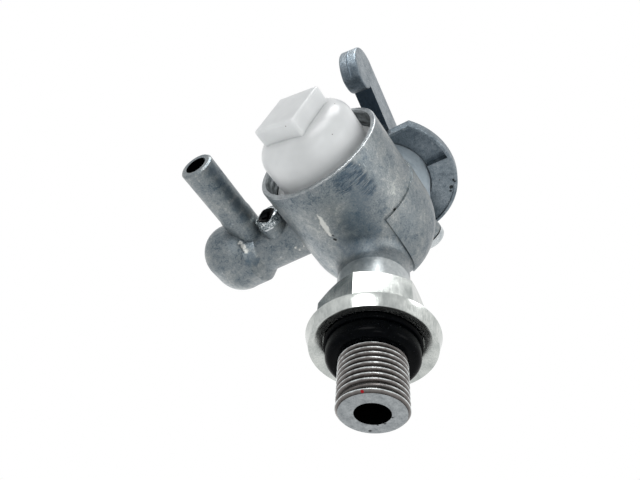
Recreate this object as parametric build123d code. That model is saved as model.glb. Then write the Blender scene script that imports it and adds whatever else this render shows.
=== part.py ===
from build123d import *
from math import cos, radians, sin
import os

# Fuel tap, millimetres. It hangs from its inlet thread, with the sediment bowl below.
# Everything is drawn about the crossing of the bowl axis (Z) and the inlet axis (Y).
# The inlet points to +Y, the outlet arm to -X, the bowl to -Z, the lever side to about -Y.
# At the end each piece is moved so that the origin lies on the inlet thread.

# Clearances
running_fit = 0.05
seat_gap = 0.05
edge_break = 0.3

# Inlet neck and thread, M12 x 1
thread_r = 6.0
thread_pitch = 1.0
inlet_end = 45.8
inlet_chamfer = 0.5
inlet_bore_r = 3.0
inlet_bore_floor = 1.5
neck_r = 7.2
neck_end = 22.4
neck_fillet = 2.6
relief_width = 1.2
relief_depth = 0.6
relief_clear = 0.3

# Bowl housing
rim_z = -23.2
rim_r = 13.5
housing_r = 13.9
dome_start_z = -2.3
bowl_bore_r = 12.0
bowl_ceiling_z = -10.5
mouth_chamfer = 0.5
pad_height = 0.4
pad_low_z = -9.1
pad_from_angle = -75.0
pad_to_angle = 56.0
pad_top_z = 9.5

# Outlet arm, elbow and hose nipple
arm_z = -7.2
arm_r = 5.0
arm_passage_r = 2.1
arm_passage_end_x = 2.1
shoulder_start_x = -24.4
shoulder_end_x = -26.8
elbow_r = 6.7
elbow_post_r = 6.8
elbow_post_x = -31.7
elbow_post_drop = 10.0
nipple_root = (-26.2, -2.0, -9.0)
nipple_tip = (-23.5, 0.0, -33.2)
nipple_root_r = 3.8
nipple_r = 3.65
nipple_free_length = 14.0
nipple_step = 1.0
nipple_bore_r = 2.35
nipple_chamfer = 0.35

# Valve chamber: its axis is turned a little from the inlet's, seen from above
valve_turn = 4.8
valve_z = 2.1
chamber_r = 11.3
chamber_face_h = 21.0
chamber_round_h = 6.0
chamber_bore_r = 7.5
chamber_floor_h = 4.3
port_r = 1.4
port_pitch_r = 4.0
in_port_end_y = 3.0
bowl_port_x = 8.1
stop_angle = 109.0
stop_half_angle = 8.0
stop_reach = 16.5
stop_thick = 2.9
stop_clear = 0.3

# Lever: hub disc, spindle and finger bar in one casting
hub_r = 17.85
hub_overlap = 1.6
hub_web = 0.8
hub_edge = 0.4
hub_wall = 0.8
hub_flat_y = -12.2
face_recess_r = 11.7
face_recess_clear = 0.2
ring_recess_depth = 0.4
pocket_from_angle = -80.0
pocket_to_angle = 0.0
stop_slack_angle = 1.0
lever_travel = 90.0
lever_lean = 8.3
bar_width = 4.0
bar_offset = 4.0
bar_heel = 8.0
bar_rise = 9.7
bar_drop = 1.8
bar_reach = 33.4
bar_edge = 0.4
lobe_length = 8.9
lobe_hang = 4.7
spindle_gap = 0.1

# Seals of the spindle
port_seal_thick = 1.6
spindle_ring_depth = 2.5
spindle_ring_section_r = 0.6
spindle_ring_groove = 1.5

# Retaining screw of the spindle and the post that carries it
head_clear = 0.3
retainer_turn = 5.0
retainer_side = 2.8
post_r = 3.95
post_top = 15.3
screw_r = 2.0
dog_r = 1.4
groove_depth = 1.7
head_r = 3.9
head_height = 2.3
washer_thick = 0.4
washer_r = 3.4
washer_hole_gap = 0.15

# Passage screw on the arm
passage_screw_x = -18.4
passage_boss_r = 3.4
passage_boss_rise = 1.2
passage_head_r = 3.1
passage_head_height = 2.2
passage_screw_r = 1.5
passage_washer_r = 3.3

# Locking nut with a dished flange
nut_start = 22.9
nut_across_flats = 18.0
nut_corner_angle = -80.0
nut_chamfer = 1.5
flange_start = 28.2
flange_crest = 31.1
flange_end = 33.5
flange_r = 12.0
flange_front_r = 11.3
flange_edge = 0.3
dish_mouth_r = 11.0
dish_floor_r = 8.85
dish_cone_depth = 1.1
dish_depth = 2.5

# Rubber of the inlet
backing_ring_r = 8.7
backing_ring_thick = 2.3
tank_seal_r = 8.25
tank_seal_length = 3.1
tank_seal_round = 1.3
seal_bore_gap = 0.1

# Sediment cup
cup_thread_length = 7.6
cup_body_r = 10.25
cup_shoulder_z = -26.4
cup_crown_z = -30.3
cup_head_top_z = -33.8
cup_head_flats = 10.8
cup_head_turn = 25.5
cup_head_round = 0.6
cup_wall = 1.6
cup_ring_section_r = 0.8
cup_ring_mid_r = 10.9

# Strainer
strainer_r = 6.0
strainer_cap = 1.3
strainer_length = 13.5
strainer_ribs = 6
strainer_rib_width = 1.2
strainer_spigot_length = 3.0
gauze_thick = 0.25

# Values worked out from the sizes above
valve = Plane(
    origin=(0, 0, valve_z),
    x_dir=(cos(radians(valve_turn)), sin(radians(valve_turn)), 0),
    z_dir=(sin(radians(valve_turn)), -cos(radians(valve_turn)), 0),
)
spindle_r = chamber_bore_r - running_fit
hub_near_h = chamber_face_h - hub_overlap
face_recess_h = chamber_face_h + face_recess_clear
ring_recess_h = hub_near_h + ring_recess_depth
hub_far_h = face_recess_h + hub_web
bar_top_h = hub_far_h + bar_rise
bar_tip_h = bar_top_h - bar_drop
lobe_low_h = hub_far_h - lobe_hang
stop_high_h = face_recess_h - stop_clear
stop_low_h = stop_high_h - stop_thick
spindle_ring_h = chamber_face_h - spindle_ring_depth
retainer_h = hub_near_h - head_r - head_clear
spindle_end_h = chamber_floor_h + port_seal_thick + spindle_gap
cup_thread_r = bowl_bore_r - running_fit
cup_top_z = bowl_ceiling_z - 2 * cup_ring_section_r - 3 * seat_gap
cup_thread_low_z = cup_top_z - cup_thread_length
dish_floor = flange_end - dish_depth
backing_start = dish_floor + seat_gap
seal_start = backing_start + backing_ring_thick + seat_gap
seal_bore_r = thread_r + seal_bore_gap
relief_end = seal_start + tank_seal_length + relief_clear
thread_middle = (relief_end + inlet_end - inlet_chamfer) / 2


def turned(points, axis=Axis.Z):
    """A closed outline of (radius, height) points, turned about Z."""
    outline = make_face(Polyline(*[(r, 0, z) for r, z in points], close=True))
    return revolve(outline, axis)


def rod(radius, start, end):
    """A round bar from one point to another."""
    line = Vector(*end) - Vector(*start)
    place = Plane(origin=start, z_dir=line)
    return place * Cylinder(radius, line.length, align=(Align.CENTER, Align.CENTER, Align.MIN))


def along_y(radius, start, end):
    return rod(radius, (0, start, 0), (0, end, 0))


def on_valve(shape):
    """Places a shape that is drawn with its height along the valve's axis."""
    return valve * shape


def disc(radius, low, high):
    """A cylinder about Z between two heights."""
    return Pos(0, 0, low) * Cylinder(radius, high - low, align=(Align.CENTER, Align.CENTER, Align.MIN))


def ring(outer, inner, low, high):
    return disc(outer, low, high) - disc(inner, low - 1, high + 1)


def sector(outer, inner, from_angle, to_angle, low, high):
    """A slice of a ring, for stops, recesses and the raised pad."""
    reach = 2 * outer
    middle = (from_angle + to_angle) / 2
    angles = [from_angle, middle, to_angle]
    points = [(reach * cos(radians(a)), reach * sin(radians(a))) for a in angles]
    wedge = extrude(make_face(Polyline((0, 0), *points, close=True)), amount=high - low)
    return ring(outer, inner, low, high) & Pos(0, 0, low) * wedge


def rims(shape):
    """The circular edges of a turned shape, smallest first."""
    return shape.edges().filter_by(GeomType.CIRCLE).sort_by(SortBy.RADIUS)


def domed(points, radius, middle):
    """A solid turned about Z: straight outline points, then a dome that closes it on the axis."""
    way = 1 if middle > points[0][1] else -1
    arc = ThreePointArc(
        (radius, 0, middle), (radius * cos(radians(45)), 0, middle + way * radius * sin(radians(45))),
        (0, 0, middle + way * radius))
    corners = [(r, 0, z) for r, z in points]
    straight = Polyline((0, 0, middle + way * radius), (0, 0, points[0][1]), *corners, (radius, 0, middle))
    return revolve(make_face(straight + arc), Axis.Z)


def housing_shell(extra):
    """Outside of the bowl housing: slight taper below, a round dome on top."""
    return domed([(rim_r + extra, rim_z)], housing_r + extra, dome_start_z)


def raised_pad():
    """The thicker casting that surrounds the valve chamber on one side."""
    keep = sector(2 * housing_r, 1.0, pad_from_angle, pad_to_angle, pad_low_z, pad_top_z)
    return housing_shell(pad_height) & keep


def elbow():
    """Arm end: a lying barrel that runs into an upright one with two domed ends."""
    barrel = rod(elbow_r, (shoulder_end_x, 0, arm_z), (elbow_post_x, 0, arm_z))
    low = arm_z - elbow_post_drop + elbow_post_r
    upper = domed([(elbow_post_r, low)], elbow_post_r, arm_z)
    lower = domed([(elbow_post_r, arm_z)], elbow_post_r, low)
    return barrel + Pos(elbow_post_x, 0, 0) * (upper + lower)


def arm():
    bar = rod(arm_r, (0, 0, arm_z), (shoulder_end_x, 0, arm_z))
    cone_length = shoulder_start_x - shoulder_end_x
    cone = Cone(elbow_r, arm_r, cone_length, align=(Align.CENTER, Align.CENTER, Align.MIN))
    shoulder = Plane(origin=(shoulder_end_x, 0, arm_z), z_dir=(1, 0, 0)) * cone
    return bar + shoulder


def nipple_axis():
    return Vector(*nipple_tip) - Vector(*nipple_root)


def nipple():
    """Hose nipple: a slightly thicker root, then the free length for the hose."""
    length = nipple_axis().length
    step = length - nipple_free_length
    outline = turned([
        (0, 0), (nipple_root_r, 0), (nipple_root_r, step - nipple_step), (nipple_r, step),
        (nipple_r, length - nipple_chamfer), (nipple_r - nipple_chamfer, length), (0, length)])
    return Plane(origin=nipple_root, z_dir=nipple_axis()) * outline


def retainer_place(distance):
    """A plane across the retaining screw, which meets the spindle's groove off its middle."""
    angle = radians(90 - retainer_turn)
    outward = valve.x_dir * cos(angle) + valve.y_dir * sin(angle)
    start = valve.from_local_coords(Vector(retainer_side, 0, retainer_h)) + outward * distance
    return Plane(origin=start, x_dir=valve.z_dir, z_dir=outward)


def retainer_rod(radius, low, high):
    return retainer_place(low) * Cylinder(radius, high - low, align=(Align.CENTER, Align.CENTER, Align.MIN))


def passage_boss_low_z():
    return arm_z - arm_r - passage_boss_rise


def passage_boss():
    """Spot-faced boss on the arm for the screw that closes the drilled passage."""
    return Pos(passage_screw_x, 0, 0) * disc(passage_boss_r, passage_boss_low_z(), arm_z)


def chamber():
    """Valve barrel with a ball end inside the housing, and the stop that limits the lever."""
    barrel = domed([(chamber_r, chamber_face_h)], chamber_r, chamber_round_h)
    low_angle = stop_angle - stop_half_angle
    high_angle = stop_angle + stop_half_angle
    stop = sector(stop_reach, chamber_r - 1, low_angle, high_angle, stop_low_h, stop_high_h)
    return on_valve(barrel + stop)


def port_point(angle, height):
    """A point of the valve's port circle at a height along its axis."""
    local = Vector(port_pitch_r * cos(radians(angle)), port_pitch_r * sin(radians(angle)), height)
    return valve.from_local_coords(local)


def passages():
    """Everything that is bored into the casting."""
    inlet = along_y(inlet_bore_r, inlet_bore_floor, inlet_end + 1)
    in_port = rod(port_r, port_point(90, chamber_floor_h + 1), (0, in_port_end_y, 0))
    out_port = rod(port_r, port_point(0, chamber_floor_h + 1), port_point(0, 1))
    bowl_port = rod(port_r, port_point(0, 1), (bowl_port_x, port_point(0, 1).Y, bowl_ceiling_z - 1))
    spindle_bore = on_valve(disc(chamber_bore_r, chamber_floor_h, chamber_face_h + 3))
    arm_bore = rod(arm_passage_r, (arm_passage_end_x, 0, arm_z), (elbow_post_x, 0, arm_z))
    strainer_bore = disc(arm_passage_r, bowl_ceiling_z - 1, arm_z)
    start = Vector(*nipple_root)
    hose_bore = rod(nipple_bore_r, (start.X, start.Y, arm_z), Vector(*nipple_tip) + nipple_axis() * 0.1)
    bowl = disc(bowl_bore_r, rim_z - 1, bowl_ceiling_z)
    screw_bore = Pos(passage_screw_x, 0, 0) * disc(passage_screw_r, passage_boss_low_z() - 1, arm_z)
    retainer_bore = retainer_rod(screw_r, chamber_bore_r / 2, post_top + 1)
    cuts = inlet + in_port + out_port + bowl_port + spindle_bore + arm_bore
    return [cuts, strainer_bore, hose_bore, bowl, screw_bore, retainer_bore]


def make_body():
    """One zinc casting: housing, neck, threaded inlet, arm, elbow, nipple and valve barrel."""
    shell = housing_shell(0)
    neck = along_y(neck_r, 0, neck_end)
    blend = (shell + neck).edges().filter_by(lambda e: e.center().Y > housing_r / 2)
    blend = blend.filter_by(lambda e: abs(e.center().Z) < neck_r and e.center().Y < neck_end - 1)
    body = fillet(blend, neck_fillet)
    inlet = along_y(thread_r, neck_end - 1, inlet_end)
    inlet = chamfer(inlet.edges().sort_by(Axis.Y)[-1], inlet_chamfer)
    relief = along_y(thread_r + 1, relief_end - relief_width, relief_end)
    inlet -= relief - along_y(thread_r - relief_depth, relief_end - relief_width, relief_end)
    body = body + inlet + raised_pad() + arm() + elbow() + nipple() + passage_boss() + chamber()
    body = body + retainer_rod(post_r, chamber_bore_r, post_top)
    for cut in passages():
        body = body - cut
    body = fillet(rims(body).filter_by(lambda e: abs(e.center().Z - rim_z) < 0.01)[-1], edge_break)
    mouth = rims(body).filter_by(lambda e: abs(e.center().Z - rim_z) < 0.01)
    return chamfer(mouth[0], mouth_chamfer)


def bar_side():
    """The finger bar's outline from its side: along the bar, then away from the body."""
    start = bar_reach - lobe_length
    height = bar_tip_h - lobe_low_h
    hang = hub_far_h - lobe_low_h
    root = bar_reach / 3
    shoulder = (start + lobe_length / 3, bar_tip_h)
    end = (bar_reach, lobe_low_h + 0.4 * height)
    bottom = (start + 0.59 * lobe_length, lobe_low_h)
    back = Polyline((start, hub_far_h), (root, hub_far_h), (root, hub_far_h - hub_web / 2),
                    (-bar_heel, hub_far_h - hub_web / 2), (-bar_heel, hub_far_h), (0, bar_top_h), shoulder)
    outer = ThreePointArc(shoulder, (bar_reach - 0.19 * lobe_length, bar_tip_h - 0.21 * height), end)
    tip = ThreePointArc(end, (bar_reach - 0.13 * lobe_length, lobe_low_h + 0.13 * height), bottom)
    under = ThreePointArc(bottom, (start + 0.22 * lobe_length, lobe_low_h + 0.28 * hang), (start, hub_far_h))
    return make_face(back + outer + tip + under)


def lever_bar():
    lean = radians(lever_lean)
    across = Vector(cos(lean), sin(lean), 0)
    plane = Plane(origin=across * bar_offset, x_dir=(sin(lean), -cos(lean), 0), z_dir=-across)
    bar = extrude(plane * bar_side(), amount=bar_width / 2, both=True)
    sides = bar.faces().filter_by(lambda f: abs(f.normal_at(f.center()).dot(across)) > 0.99)
    edges = sides.edges().filter_by(lambda e: abs(e.center().Z - hub_far_h) > hub_web)
    return fillet(edges, bar_edge)


def hub_recesses():
    """Hollows in the hub's near face, with the slot that lets the stop pass."""
    inner = hub_r - hub_wall
    low = hub_near_h - 1
    slot_from = stop_angle - stop_half_angle - stop_slack_angle
    slot_to = stop_angle + stop_half_angle + stop_slack_angle + lever_travel
    middle = disc(face_recess_r, low, face_recess_h)
    slot = sector(inner, face_recess_r - 1, slot_from, slot_to, low, face_recess_h)
    pocket = sector(inner, face_recess_r - 1, pocket_from_angle, pocket_to_angle, low, face_recess_h)
    shallow = disc(inner, low, ring_recess_h)
    above_flat = Pos(0, hub_flat_y + hub_wall, low) * Box(
        3 * hub_r, 3 * hub_r, hub_r, align=(Align.CENTER, Align.MIN, Align.MIN))
    return middle + slot + (pocket + shallow & above_flat)


def make_hub():
    """Round disc with one flat side."""
    hub = disc(hub_r, hub_near_h, hub_far_h)
    hub &= Pos(0, hub_flat_y, 0) * Box(3 * hub_r, 3 * hub_r, 3 * hub_far_h, align=(Align.CENTER, Align.MIN, Align.CENTER))
    edges = hub.edges().filter_by(lambda e: min(abs(e.center().Z - h) for h in (hub_near_h, hub_far_h)) < 0.01)
    return fillet(edges, hub_edge) - hub_recesses()


def make_lever():
    spindle = disc(spindle_r, spindle_end_h, face_recess_h + hub_web / 2)
    screw_groove = ring(
        spindle_r + 1, spindle_r - groove_depth, retainer_h - dog_r - spindle_gap, retainer_h + dog_r + spindle_gap)
    ring_groove = ring(
        spindle_r + 1, spindle_r - 2 * spindle_ring_section_r - seat_gap,
        spindle_ring_h - spindle_ring_groove / 2, spindle_ring_h + spindle_ring_groove / 2)
    link = sector(port_pitch_r + port_r, port_pitch_r - port_r, -15, 105, spindle_end_h - 1, spindle_end_h + 1.5)
    return on_valve(make_hub() + lever_bar() + spindle - screw_groove - ring_groove - link)


def make_spindle_ring():
    mid = spindle_r - spindle_ring_section_r
    return on_valve(Pos(0, 0, spindle_ring_h) * Torus(mid, spindle_ring_section_r))


def make_port_seal():
    """Rubber disc between the spindle's end and the chamber's floor, with two ports."""
    seal = disc(spindle_r, chamber_floor_h, chamber_floor_h + port_seal_thick)
    for angle in (0, 90):
        hole = disc(port_r, chamber_floor_h - 1, chamber_floor_h + port_seal_thick + 1)
        seal -= Pos(port_pitch_r * cos(radians(angle)), port_pitch_r * sin(radians(angle)), 0) * hole
    return on_valve(seal)


def make_retaining_washer():
    washer = retainer_rod(washer_r, post_top, post_top + washer_thick)
    return washer - retainer_rod(screw_r + washer_hole_gap, post_top - 1, post_top + 2)


def cross_recess(size, depth):
    """Cross-shaped driver recess, drawn from Z = 0 downwards."""
    slot = Box(size, size / 4, depth, align=(Align.CENTER, Align.CENTER, Align.MAX))
    return slot + Rot(0, 0, 90) * slot


def pan_head(radius, height):
    head = disc(radius, 0, height)
    head = fillet(head.edges().filter_by(GeomType.CIRCLE).sort_by(Axis.Z)[-1], height * 0.45)
    return head - Pos(0, 0, height) * cross_recess(radius, height * 0.55)


def make_retaining_screw():
    seat = post_top + washer_thick
    head = retainer_place(seat) * pan_head(head_r, head_height)
    shank = retainer_rod(screw_r - running_fit, chamber_bore_r + 0.4, seat)
    dog = retainer_rod(dog_r, spindle_r - groove_depth + 0.2, chamber_bore_r + 0.5)
    return head + shank + dog


def passage_place(z):
    return Plane(origin=(passage_screw_x, 0, z), x_dir=(1, 0, 0), z_dir=(0, 0, -1))


def make_passage_washer():
    low = passage_boss_low_z()
    washer = ring(passage_washer_r, passage_screw_r + washer_hole_gap, 0, washer_thick)
    return passage_place(low) * washer


def make_passage_screw():
    seat = passage_boss_low_z() - washer_thick
    head = passage_place(seat) * pan_head(passage_head_r, passage_head_height)
    shank = Pos(passage_screw_x, 0, 0) * disc(
        passage_screw_r - running_fit, seat, arm_z - arm_passage_r - 0.2)
    return head + shank


def make_lock_nut():
    """Hexagon with a flaring flange, dished in front for the rubber."""
    low = flange_start - nut_start
    crest = flange_crest - nut_start
    high = flange_end - nut_start
    half_flats = nut_across_flats / 2
    outline = RegularPolygon(half_flats, 6, major_radius=False, rotation=nut_corner_angle)
    hexagon = extrude(outline, amount=flange_end - nut_start - 1)
    corner_r = half_flats / cos(radians(30))
    limit = turned([
        (0, 0), (half_flats - edge_break, 0), (corner_r + edge_break, nut_chamfer), (corner_r + edge_break, high), (0, high)])
    hexagon = hexagon & limit
    flange = turned([
        (0, low), (half_flats + 0.4, low), (flange_r - flange_edge, crest - flange_edge), (flange_r, crest),
        (flange_r - flange_edge / 2, crest + flange_edge), (flange_front_r, high), (0, high)])
    nut = hexagon + flange
    dish = turned([
        (0, high - dish_depth), (dish_floor_r, high - dish_depth), (dish_floor_r, high - dish_cone_depth),
        (dish_mouth_r, high + 0.01), (0, high + 0.01)])
    nut = nut - dish - disc(thread_r + running_fit, -1, high + 1)
    return Plane(origin=(0, nut_start, 0), x_dir=(1, 0, 0), z_dir=(0, 1, 0)) * nut


def make_backing_ring():
    ring_part = ring(backing_ring_r, seal_bore_r, 0, backing_ring_thick)
    ring_part = fillet(rims(ring_part)[-2:], edge_break)
    return Plane(origin=(0, backing_start, 0), x_dir=(1, 0, 0), z_dir=(0, 1, 0)) * ring_part


def make_tank_seal():
    ring_part = ring(tank_seal_r, seal_bore_r, 0, tank_seal_length)
    ring_part = fillet(rims(ring_part)[-2:].sort_by(Axis.Z)[-1], tank_seal_round)
    low = rims(ring_part).filter_by(lambda e: abs(e.center().Z) < 0.01)[-1]
    ring_part = fillet(low, edge_break)
    return Plane(origin=(0, seal_start, 0), x_dir=(1, 0, 0), z_dir=(0, 1, 0)) * ring_part


def cup_profile(body_r, shoulder, crown):
    """Half outline of the cup below its thread: straight side, then a round crown."""
    side = Line((body_r, cup_thread_low_z), (body_r, shoulder))
    drop = shoulder - crown
    middle = (body_r - drop * 0.35, shoulder - drop * 0.72)
    top = ThreePointArc((body_r, shoulder), middle, (body_r - drop, crown))
    return side + top + Polyline((body_r - drop, crown), (0, crown), (0, cup_thread_low_z), (body_r, cup_thread_low_z))


def make_cup():
    """Screwed plastic bowl with a square head."""
    outside = revolve(make_face(Plane.XZ * cup_profile(cup_body_r, cup_shoulder_z, cup_crown_z)), Axis.Z)
    inside = revolve(make_face(Plane.XZ * cup_profile(
        cup_body_r - cup_wall, cup_shoulder_z, cup_crown_z + cup_wall)), Axis.Z)
    skirt = disc(cup_thread_r, cup_thread_low_z, cup_top_z)
    skirt = chamfer(skirt.edges().filter_by(GeomType.CIRCLE).sort_by(Axis.Z)[0], edge_break)
    head = Pos(0, 0, cup_head_top_z) * Box(
        cup_head_flats, cup_head_flats, cup_crown_z - cup_head_top_z + 1,
        align=(Align.CENTER, Align.CENTER, Align.MIN))
    head = fillet(head.edges().filter_by(Axis.Z) + head.faces().sort_by(Axis.Z)[0].edges(), cup_head_round)
    cup = outside + skirt + Rot(0, 0, cup_head_turn) * head
    cup = cup - inside - disc(cup_body_r - cup_wall, cup_thread_low_z - 1, cup_top_z + 1)
    return cup


def make_cup_ring():
    z = bowl_ceiling_z - seat_gap - cup_ring_section_r
    return Pos(0, 0, z) * Torus(cup_ring_mid_r, cup_ring_section_r)


def strainer_low_z():
    return bowl_ceiling_z - seat_gap - strainer_length


def make_strainer_frame():
    """Moulded cage: two caps, ribs between them and a spigot in the outlet hole."""
    top = bowl_ceiling_z - seat_gap
    low = strainer_low_z()
    cage = ring(strainer_r, arm_passage_r - 0.5, top - strainer_cap, top) + disc(strainer_r, low, low + strainer_cap)
    inner = strainer_r - gauze_thick - 1.1
    for i in range(strainer_ribs):
        rib = Pos(inner + 0.5, 0, low) * Box(
            1.0, strainer_rib_width, strainer_length, align=(Align.CENTER, Align.CENTER, Align.MIN))
        cage += Rot(0, 0, 360 / strainer_ribs * i) * rib
    spigot = ring(arm_passage_r - running_fit, arm_passage_r - 0.5, top - 0.5, top + strainer_spigot_length)
    return cage + (spigot - rod(arm_passage_r, (-strainer_r, 0, arm_z), (strainer_r, 0, arm_z)))


def make_gauze():
    top = bowl_ceiling_z - seat_gap - strainer_cap
    low = strainer_low_z() + strainer_cap
    return ring(strainer_r - 0.02, strainer_r - gauze_thick, low + 0.02, top - 0.02)


pieces = {
    "body": make_body,
    "lock_nut": make_lock_nut,
    "backing_ring": make_backing_ring,
    "tank_seal": make_tank_seal,
    "sediment_cup": make_cup,
    "cup_o_ring": make_cup_ring,
    "strainer_frame": make_strainer_frame,
    "strainer_gauze": make_gauze,
    "lever": make_lever,
    "spindle_o_ring": make_spindle_ring,
    "port_seal": make_port_seal,
    "retaining_screw": make_retaining_screw,
    "retaining_washer": make_retaining_washer,
    "passage_screw": make_passage_screw,
    "passage_washer": make_passage_washer,
}

os.makedirs("parts", exist_ok=True)
to_origin = Pos(0, -thread_middle, 0)
for name, make in pieces.items():
    solid = to_origin * make()
    export_step(solid, f"parts/{name}.step")
    print(name, round(solid.volume, 1))
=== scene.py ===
# %% [markdown]
# # A die-cast fuel tap
# The tap hangs from its threaded inlet. A lever with a round hub turns the valve, a white plastic cup
# catches dirt below, and a hose is pushed on the slanted nipple. The solids come from the CAD model, and
# every object stays where it puts them. The photograph looks up at the tap from below its cup, so in the
# render the cup is at the top left.

# %% Load the model
import math
import random
import bmesh
import bpy
from mathutils import Matrix, Vector


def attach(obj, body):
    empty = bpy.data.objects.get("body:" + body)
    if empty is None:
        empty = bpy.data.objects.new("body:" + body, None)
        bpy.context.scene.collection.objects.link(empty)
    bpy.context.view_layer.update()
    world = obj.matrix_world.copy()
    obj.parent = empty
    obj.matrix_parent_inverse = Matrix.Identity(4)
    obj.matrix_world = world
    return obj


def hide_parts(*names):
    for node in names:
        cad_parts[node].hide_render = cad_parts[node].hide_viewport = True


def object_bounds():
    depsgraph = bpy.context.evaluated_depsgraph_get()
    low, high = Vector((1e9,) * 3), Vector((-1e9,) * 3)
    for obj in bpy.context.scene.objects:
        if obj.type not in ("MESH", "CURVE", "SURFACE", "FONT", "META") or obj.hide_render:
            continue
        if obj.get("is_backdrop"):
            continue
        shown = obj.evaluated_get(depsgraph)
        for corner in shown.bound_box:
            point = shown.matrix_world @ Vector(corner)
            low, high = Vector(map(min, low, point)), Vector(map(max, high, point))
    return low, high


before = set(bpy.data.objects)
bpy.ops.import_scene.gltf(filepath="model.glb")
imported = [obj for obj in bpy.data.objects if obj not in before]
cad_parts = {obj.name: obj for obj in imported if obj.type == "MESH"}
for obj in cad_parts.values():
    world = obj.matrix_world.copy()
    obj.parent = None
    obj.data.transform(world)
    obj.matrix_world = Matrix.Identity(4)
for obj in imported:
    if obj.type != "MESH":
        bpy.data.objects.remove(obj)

scene = bpy.context.scene
scene.view_settings.view_transform = "Standard"
MM = 0.001
cad_box = [list(corner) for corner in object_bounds()]
size_mm = [round((high - low) / MM, 1) for low, high in zip(*cad_box)]
print("the tap measures", size_mm, "mm")

# %% [markdown]
# ## The places everything is measured from
# The origin lies on the inlet's thread. The bowl's axis stands 41.05 mm behind it, and the lever's axis is
# turned by 4.8 degrees, so both are written down once here and every later step uses them.

# %% Axes of the tap
BOWL_Y = -41.05
VALVE_TURN = math.radians(4.8)
VALVE_Z = 2.1
valve_out = Vector((math.sin(VALVE_TURN), -math.cos(VALVE_TURN), 0))
valve_side = Vector((math.cos(VALVE_TURN), math.sin(VALVE_TURN), 0))


def at(x, y, z):
    """A point given in millimetres from the crossing of the inlet's and the bowl's axes."""
    return Vector((x, y + BOWL_Y, z)) * MM


print("bowl axis through", [round(c, 4) for c in at(0, 0, 0)])

# %% [markdown]
# ## Camera
# The photograph's camera was worked out from the outlines of the stub, the nut and the rim: a 29.9 mm lens
# on a 36 mm wide sensor, 11 cm from the tap. A rotation matrix with the camera's right, up and back
# directions as columns places it exactly, and the lamps later use the same three directions.

# %% Camera
FOCAL_MM = 29.91
SENSOR_MM = 36.0
camera_place = Vector((36.59, 51.55, -63.56)) * MM
right = Vector((0.83301, -0.08207, 0.54714))
up = Vector((0.37955, -0.63476, -0.67307))
back = Vector((0.40255, 0.76834, -0.49761))
lens = bpy.data.cameras.new("photo_camera")
lens.lens = FOCAL_MM
lens.sensor_width = SENSOR_MM
lens.clip_start = 5 * MM
camera = bpy.data.objects.new("photo_camera", lens)
scene.collection.objects.link(camera)
turn = Matrix((right, up, back)).transposed().to_4x4()
camera.matrix_world = Matrix.Translation(camera_place) @ turn
scene.camera = camera
print("camera at", [round(c, 4) for c in camera.matrix_world.translation])

# %% [markdown]
# ## One function for every node
# The background, the finishes and the threads are all node trees. Clicking them together would leave
# nothing to read, so they are written down: one call adds a node, sets it and links it. Colours are written
# as on a screen, in sRGB, and one function turns them into the linear values that a shader works with.

# %% Colours and nodes
def linear(code):
    """Turns an sRGB hex colour into the linear colour that a shader works with."""
    channels = [int(code[i:i + 2], 16) / 255 for i in (1, 3, 5)]
    return [c / 12.92 if c <= 0.04045 else ((c + 0.055) / 1.055) ** 2.4 for c in channels] + [1.0]


def add(tree, kind, *values, stops=(), **settings):
    """Adds one node. Plain values fill its inputs in order, in_NAME fills one input, the rest sets the node.

    An input takes a number, a socket or a node, which stands for its first output. The stops of a colour
    ramp are pairs of a position and a hex colour.
    """
    made = tree.nodes.new(kind)
    inputs = dict(enumerate(values))
    for key, value in settings.items():
        if key.startswith("in_"):
            label = key[3:].replace("_", " ")
            inputs[int(label) if label.isdigit() else label] = value
        else:
            setattr(made, key, value)
    for label, value in inputs.items():
        if isinstance(value, bpy.types.Node):
            value = value.outputs[0]
        if isinstance(value, bpy.types.NodeSocket):
            tree.links.new(value, made.inputs[label])
        else:
            made.inputs[label].default_value = value
    if stops:
        ends = made.color_ramp.elements
        while len(ends) < len(stops):
            ends.new(0.5)
        for end, (position, code) in zip(ends, stops):
            end.position = position
            end.color = linear(code)
    return made


print("mid grey #808080 is", round(linear("#808080")[0], 3), "in a shader")

# %% [markdown]
# ## Floor and background
# A small shiny part takes its whole look from what it mirrors. The photograph has a plain white surround,
# so the world is pure white where the camera or a reflection sees it, and a little weaker for the light
# that it sheds. The floor is a matt white card, well below the tap.

# %% Floor and world
FLOOR_REACH = 1.2
FLOOR_LEVEL = -0.24
SHED_STRENGTH = 0.95
corners = [(x * FLOOR_REACH, y * FLOOR_REACH, FLOOR_LEVEL) for x, y in ((-1, -1), (1, -1), (1, 1), (-1, 1))]
floor_mesh = bpy.data.meshes.new("floor")
floor_mesh.from_pydata(corners, [], [(0, 1, 2, 3)])
floor = bpy.data.objects.new("floor", floor_mesh)
scene.collection.objects.link(floor)
floor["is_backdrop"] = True
card = bpy.data.materials.new("matt white card")
card.use_nodes = True
card_shader = card.node_tree.nodes["Principled BSDF"]
card_shader.inputs["Base Color"].default_value = linear("#F4F4F4")
card_shader.inputs["Roughness"].default_value = 0.9
floor_mesh.materials.append(card)

world = bpy.data.worlds.new("studio")
scene.world = world
world.use_nodes = True
tree = world.node_tree
tree.nodes.clear()
ray = add(tree, "ShaderNodeLightPath").outputs
seen = add(tree, "ShaderNodeMath", ray["Is Camera Ray"], ray["Is Glossy Ray"], operation="MAXIMUM")
seen = add(tree, "ShaderNodeMath", seen, ray["Is Transmission Ray"], operation="MAXIMUM")
shed = add(tree, "ShaderNodeBackground", linear("#F6F7F8"), SHED_STRENGTH)
shown = add(tree, "ShaderNodeBackground", linear("#FFFFFF"), 1.0)
both = add(tree, "ShaderNodeMixShader", seen, shed, shown)
add(tree, "ShaderNodeOutputWorld", both)
print("floor", round(-floor_mesh.vertices[0].co.z, 3), "m under the inlet")

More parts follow.
